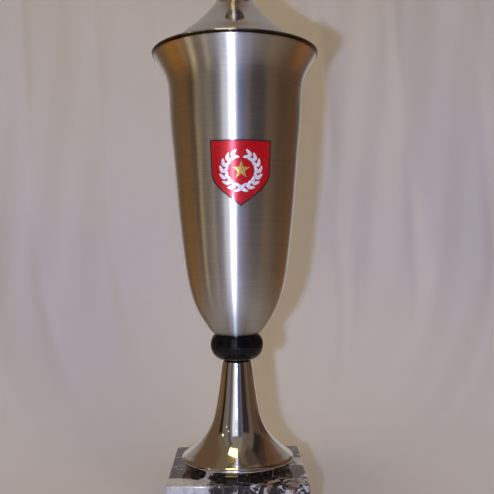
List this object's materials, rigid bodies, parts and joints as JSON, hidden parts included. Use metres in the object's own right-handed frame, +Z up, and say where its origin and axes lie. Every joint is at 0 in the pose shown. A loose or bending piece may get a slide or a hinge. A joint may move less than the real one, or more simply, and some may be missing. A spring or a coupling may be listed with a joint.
{
  "type": "lidded cup trophy",
  "caption": "Tall lidded cup trophy: brushed tapering bowl with flared lip, domed lift-off lid, black knop, polished trumpet foot and a veined stone plinth.",
  "frame": {"origin": "centre of the underside of the felt pads, where the trophy meets the table, on the bowl's axis", "axes": "+Z up along the bowl's axis and the tie rod, -Y towards the front with the shield badge, +X to the right seen from the front"},
  "size_m": [0.1012, 0.1012, 0.3613],
  "materials": {
    "stone": "polished, veined black and cream",
    "felt": "felt",
    "polished_metal": "mirror polished",
    "brushed_metal": "brushed round the axis",
    "black_resin": "high gloss",
    "zinc_steel": "zinc plated",
    "nylon": "moulded",
    "rubber": "matt",
    "printed_foil": "printed gloss label"
  },
  "bodies": {
    "trophy": {"marble_base": "stone", "felt_pad_1": "felt", "felt_pad_2": "felt", "felt_pad_3": "felt", "felt_pad_4": "felt", "foot_shell": "polished_metal", "knop": "black_resin", "bowl": "brushed_metal", "bowl_gasket": "rubber", "tie_rod": "zinc_steel", "base_washer": "zinc_steel", "spring_washer": "zinc_steel", "base_nut": "zinc_steel", "seal_washer": "nylon", "bowl_washer": "zinc_steel", "cap_nut": "polished_metal", "shield_badge": "printed_foil"},
    "lid": {"lid_shell": "polished_metal", "lid_collar": "zinc_steel", "finial_knob": "polished_metal", "finial_tip": "polished_metal", "finial_stud": "zinc_steel", "finial_washer": "zinc_steel", "finial_nut": "zinc_steel"}
  },
  "joints": [
    {"name": "lid_lift", "type": "slide", "parent": "trophy", "child": "lid", "axis": [0, 0, 1], "range_m": [0, 0.1]}
  ]
}
